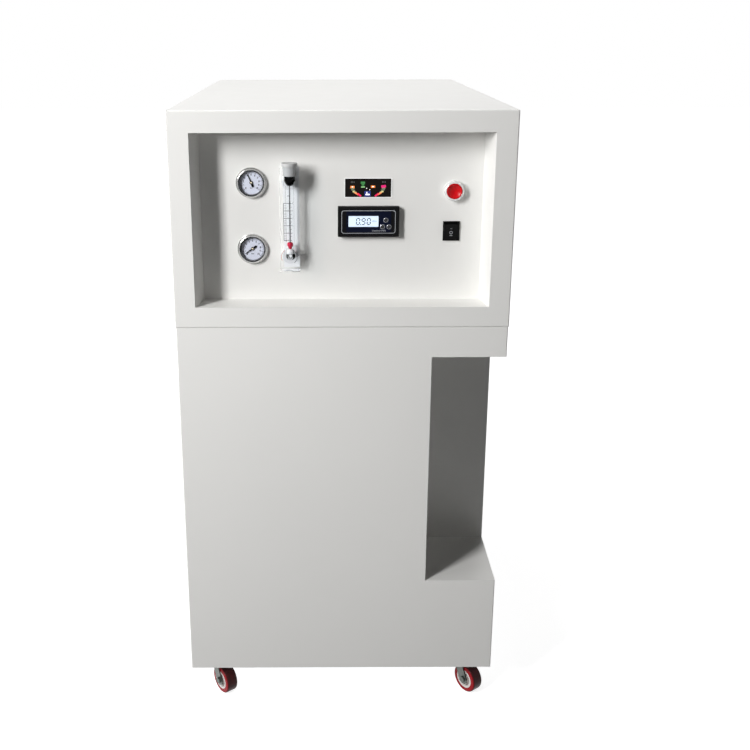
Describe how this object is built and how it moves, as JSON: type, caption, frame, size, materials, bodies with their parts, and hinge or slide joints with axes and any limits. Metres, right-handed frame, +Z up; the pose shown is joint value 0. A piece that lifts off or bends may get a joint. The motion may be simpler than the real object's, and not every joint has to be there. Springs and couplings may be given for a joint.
{
  "type": "ultrapure water system",
  "caption": "Floor-standing water purifier: folded steel cabinet on swivel casters, with a recessed instrument panel, a flowmeter and a corner niche.",
  "frame": {"origin": "on the floor, under the middle of the cabinet", "axes": "+X to the right seen from the front, +Y from the front to the back, +Z up"},
  "size_m": [0.525, 0.8, 1.03],
  "materials": {
    "painted_sheet": "satin powder coat, off-white",
    "zinc_steel": "zinc plated",
    "stainless": "polished",
    "chrome_ring": "bright chrome",
    "dial_white": "printed white dial",
    "clear_lens": "clear",
    "pointer_black": "black enamel",
    "acrylic": "clear acrylic",
    "grey_plastic": "moulded",
    "black_plastic": "moulded, fine texture",
    "black_gloss": "glossy",
    "red_gloss": "glossy red",
    "display": "backlit display",
    "key_silver": "silver keys",
    "hub_white": "moulded",
    "tyre_red": "red polyurethane",
    "blue_plastic": "moulded",
    "white_plastic": "moulded",
    "filter_media": "wound fibre",
    "cast_alloy": "painted casting",
    "rubber": "moulded",
    "supply_case": "folded sheet"
  },
  "bodies": {
    "cabinet": {"base_pan": "zinc_steel", "booster_pump": "cast_alloy", "button_contact_block": "black_plastic", "button_ring": "chrome_ring", "caster_bolts": "zinc_steel", "caster_plates": "zinc_steel", "control_panel": "painted_sheet", "filter_bracket": "zinc_steel", "filter_cartridges": "filter_media", "filter_heads": "blue_plastic", "filter_sumps": "white_plastic", "flow_body": "acrylic", "flow_guide_rod": "stainless", "flow_plug": "grey_plastic", "flow_ports": "grey_plastic", "flow_stops": "black_plastic", "front_frame": "painted_sheet", "gauge_cases": "stainless", "gauge_dials": "dial_white", "gauge_lenses": "clear_lens", "indicator_housing": "black_plastic", "indicator_window": "black_gloss", "lower_rear_panel": "painted_sheet", "lower_shell": "painted_sheet", "mains_inlet": "black_plastic", "membrane_housings": "white_plastic", "membrane_saddles": "white_plastic", "meter_display": "display", "meter_housing": "black_plastic", "niche_liner": "painted_sheet", "polishing_columns": "white_plastic", "power_supply": "supply_case", "pump_feet": "rubber", "rear_ports": "grey_plastic", "rear_screws": "zinc_steel", "solenoid_valves": "white_plastic", "switch_body": "black_plastic", "upper_cover": "painted_sheet", "upper_floor_plate": "zinc_steel", "upper_rear_panel": "painted_sheet"},
    "push_button": {"button_cap": "red_gloss"},
    "rocker": {"switch_rocker": "black_gloss"},
    "pointer_upper": {"gauge_pointer_upper": "pointer_black"},
    "pointer_lower": {"gauge_pointer_lower": "pointer_black"},
    "float": {"flow_float": "red_gloss"},
    "key_1": {"meter_key_1": "key_silver"},
    "key_2": {"meter_key_2": "key_silver"},
    "key_3": {"meter_key_3": "key_silver"},
    "caster_1": {"caster_fork_1": "zinc_steel"},
    "wheel_1": {"caster_hub_1": "hub_white", "caster_tyre_1": "tyre_red"},
    "caster_2": {"caster_fork_2": "zinc_steel"},
    "wheel_2": {"caster_hub_2": "hub_white", "caster_tyre_2": "tyre_red"},
    "caster_3": {"caster_fork_3": "zinc_steel"},
    "wheel_3": {"caster_hub_3": "hub_white", "caster_tyre_3": "tyre_red"},
    "caster_4": {"caster_fork_4": "zinc_steel"},
    "wheel_4": {"caster_hub_4": "hub_white", "caster_tyre_4": "tyre_red"}
  },
  "joints": [
    {"name": "caster_1_swivel", "type": "hinge", "parent": "cabinet", "child": "caster_1", "pos_m": [-0.218, -0.35, 0.067], "axis": [0, 0, 1], "continuous": true},
    {"name": "wheel_1_spin", "type": "hinge", "parent": "caster_1", "child": "wheel_1", "pos_m": [-0.20717, -0.36438, 0.025], "axis": [0.7986, 0.6018, 0], "continuous": true},
    {"name": "caster_2_swivel", "type": "hinge", "parent": "cabinet", "child": "caster_2", "pos_m": [0.218, -0.35, 0.067], "axis": [0, 0, 1], "continuous": true},
    {"name": "wheel_2_spin", "type": "hinge", "parent": "caster_2", "child": "wheel_2", "pos_m": [0.22883, -0.36438, 0.025], "axis": [0.7986, 0.6018, 0], "continuous": true},
    {"name": "caster_3_swivel", "type": "hinge", "parent": "cabinet", "child": "caster_3", "pos_m": [-0.218, 0.32, 0.067], "axis": [0, 0, 1], "continuous": true},
    {"name": "wheel_3_spin", "type": "hinge", "parent": "caster_3", "child": "wheel_3", "pos_m": [-0.20717, 0.30562, 0.025], "axis": [0.7986, 0.6018, 0], "continuous": true},
    {"name": "caster_4_swivel", "type": "hinge", "parent": "cabinet", "child": "caster_4", "pos_m": [0.218, 0.32, 0.067], "axis": [0, 0, 1], "continuous": true},
    {"name": "wheel_4_spin", "type": "hinge", "parent": "caster_4", "child": "wheel_4", "pos_m": [0.22883, 0.30562, 0.025], "axis": [0.7986, 0.6018, 0], "continuous": true},
    {"name": "button_press", "type": "slide", "parent": "cabinet", "child": "push_button", "axis": [0, 1, 0], "range_m": [0, 0.004], "stiffness_N_per_m": 300, "springref_m": -0.006},
    {"name": "rocker_tip", "type": "hinge", "parent": "cabinet", "child": "rocker", "pos_m": [0.1726, -0.349, 0.838], "axis": [-1, 0, 0], "range_deg": [0, 20]},
    {"name": "key_1_press", "type": "slide", "parent": "cabinet", "child": "key_1", "axis": [0, 1, 0], "range_m": [0, 0.0008], "stiffness_N_per_m": 400, "springref_m": -0.0015},
    {"name": "key_2_press", "type": "slide", "parent": "cabinet", "child": "key_2", "axis": [0, 1, 0], "range_m": [0, 0.0008], "stiffness_N_per_m": 400, "springref_m": -0.0015},
    {"name": "key_3_press", "type": "slide", "parent": "cabinet", "child": "key_3", "axis": [0, 1, 0], "range_m": [0, 0.0008], "stiffness_N_per_m": 400, "springref_m": -0.0015},
    {"name": "pointer_upper_sweep", "type": "hinge", "parent": "cabinet", "child": "pointer_upper", "pos_m": [-0.141, -0.35, 0.915], "axis": [0, 1, 0], "range_deg": [-112, 158], "stiffness_Nm_per_rad": 0.0002},
    {"name": "pointer_lower_sweep", "type": "hinge", "parent": "cabinet", "child": "pointer_lower", "pos_m": [-0.141, -0.35, 0.81], "axis": [0, 1, 0], "range_deg": [-10, 260], "stiffness_Nm_per_rad": 0.0002},
    {"name": "float_rise", "type": "slide", "parent": "cabinet", "child": "float", "axis": [0, 0, 1], "range_m": [0, 0.088]}
  ]
}
